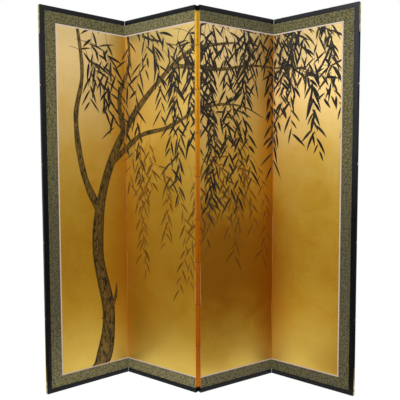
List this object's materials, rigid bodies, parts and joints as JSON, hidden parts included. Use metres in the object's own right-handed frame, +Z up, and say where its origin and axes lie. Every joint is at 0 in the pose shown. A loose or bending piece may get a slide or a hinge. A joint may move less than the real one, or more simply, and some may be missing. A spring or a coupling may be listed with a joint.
{
  "type": "folding screen",
  "caption": "Free-standing folding screen: gold-papered panels with a woven border and black lacquered frame, joined by paper hinges in a zigzag.",
  "frame": {"origin": "centre of the object's box, at floor level", "axes": "+Z up, the gold side faces -Y, +X to the right as seen from the gold side"},
  "size_m": [1.4512, 0.2982, 1.8],
  "materials": {
    "lacquer": "black gloss lacquer on wood",
    "gold_paper": "satin gold leaf on paper",
    "brocade": "olive woven brocade",
    "fillet": "pale matte paper",
    "cover_paper": "dark brown matte paper",
    "backing_paper": "plain pasted paper",
    "core_wood": "planed softwood",
    "brass": "aged satin brass"
  },
  "bodies": {
    "panel_1": {"panel_1_core_stiles": "core_wood", "panel_1_core_rails": "core_wood", "panel_1_lattice": "core_wood", "panel_1_backing_front": "backing_paper", "panel_1_backing_back": "backing_paper", "panel_1_gold_paper": "gold_paper", "panel_1_brocade": "brocade", "panel_1_fillet": "fillet", "panel_1_back_cover": "cover_paper", "panel_1_frame_top": "lacquer", "panel_1_frame_bottom": "lacquer", "panel_1_frame_side": "lacquer", "panel_1_corner_plates": "brass", "panel_1_plate_nails": "brass", "panel_1_studs": "brass", "fold_1_2_leaves_on_1": "gold_paper"},
    "panel_2": {"panel_2_core_stiles": "core_wood", "panel_2_core_rails": "core_wood", "panel_2_lattice": "core_wood", "panel_2_backing_front": "backing_paper", "panel_2_backing_back": "backing_paper", "panel_2_gold_paper": "gold_paper", "panel_2_brocade": "brocade", "panel_2_fillet": "fillet", "panel_2_back_cover": "cover_paper", "panel_2_frame_top": "lacquer", "panel_2_frame_bottom": "lacquer", "fold_1_2_leaves_on_2": "gold_paper", "fold_2_3_leaves_on_2": "gold_paper"},
    "panel_3": {"panel_3_core_stiles": "core_wood", "panel_3_core_rails": "core_wood", "panel_3_lattice": "core_wood", "panel_3_backing_front": "backing_paper", "panel_3_backing_back": "backing_paper", "panel_3_gold_paper": "gold_paper", "panel_3_brocade": "brocade", "panel_3_fillet": "fillet", "panel_3_back_cover": "cover_paper", "panel_3_frame_top": "lacquer", "panel_3_frame_bottom": "lacquer", "fold_2_3_leaves_on_3": "gold_paper", "fold_3_4_leaves_on_3": "gold_paper"},
    "panel_4": {"panel_4_core_stiles": "core_wood", "panel_4_core_rails": "core_wood", "panel_4_lattice": "core_wood", "panel_4_backing_front": "backing_paper", "panel_4_backing_back": "backing_paper", "panel_4_gold_paper": "gold_paper", "panel_4_brocade": "brocade", "panel_4_fillet": "fillet", "panel_4_back_cover": "cover_paper", "panel_4_frame_top": "lacquer", "panel_4_frame_bottom": "lacquer", "panel_4_frame_side": "lacquer", "panel_4_corner_plates": "brass", "panel_4_plate_nails": "brass", "panel_4_studs": "brass", "fold_3_4_leaves_on_4": "gold_paper"}
  },
  "joints": [
    {"name": "fold_1_2", "type": "hinge", "parent": "panel_2", "child": "panel_1", "pos_m": [-0.37426, 0.13297, 0], "axis": [0, 0, 1], "range_deg": [-73.5, 106.5]},
    {"name": "fold_2_3", "type": "hinge", "parent": "panel_2", "child": "panel_3", "pos_m": [-0.006, -0.0995, 0], "axis": [0, 0, 1], "range_deg": [-67.5, 112.5]},
    {"name": "fold_3_4", "type": "hinge", "parent": "panel_3", "child": "panel_4", "pos_m": [0.37205, 0.11668, 0], "axis": [0, 0, 1], "range_deg": [-109.5, 70.5]}
  ]
}
